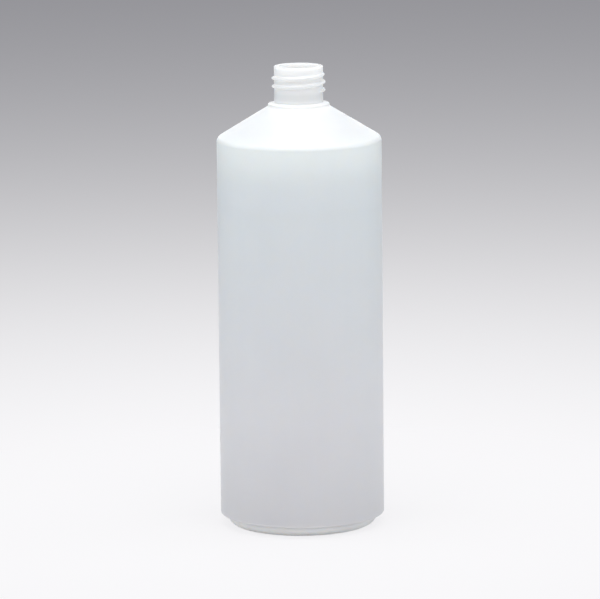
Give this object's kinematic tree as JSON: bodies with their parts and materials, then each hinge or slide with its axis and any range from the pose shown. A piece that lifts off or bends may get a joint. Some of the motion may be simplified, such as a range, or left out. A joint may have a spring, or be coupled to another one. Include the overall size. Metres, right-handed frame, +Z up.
{
  "type": "round plastic bottle",
  "caption": "Tall round thin-walled bottle with a stepped foot, sloping shoulder and open threaded neck, for holding and pouring household liquids.",
  "frame": {"origin": "centre of the standing ring under the foot", "axes": "+Z up the bottle's axis to the open neck; X and Y level, with the mould's parting line and the base weld in the XZ plane"},
  "size_m": [0.084, 0.084, 0.2368],
  "materials": {
    "natural_polyethylene": "undyed milky polyethylene, satin, lets soft light through"
  },
  "bodies": {
    "root": {"bottle": "natural_polyethylene"}
  },
  "joints": []
}
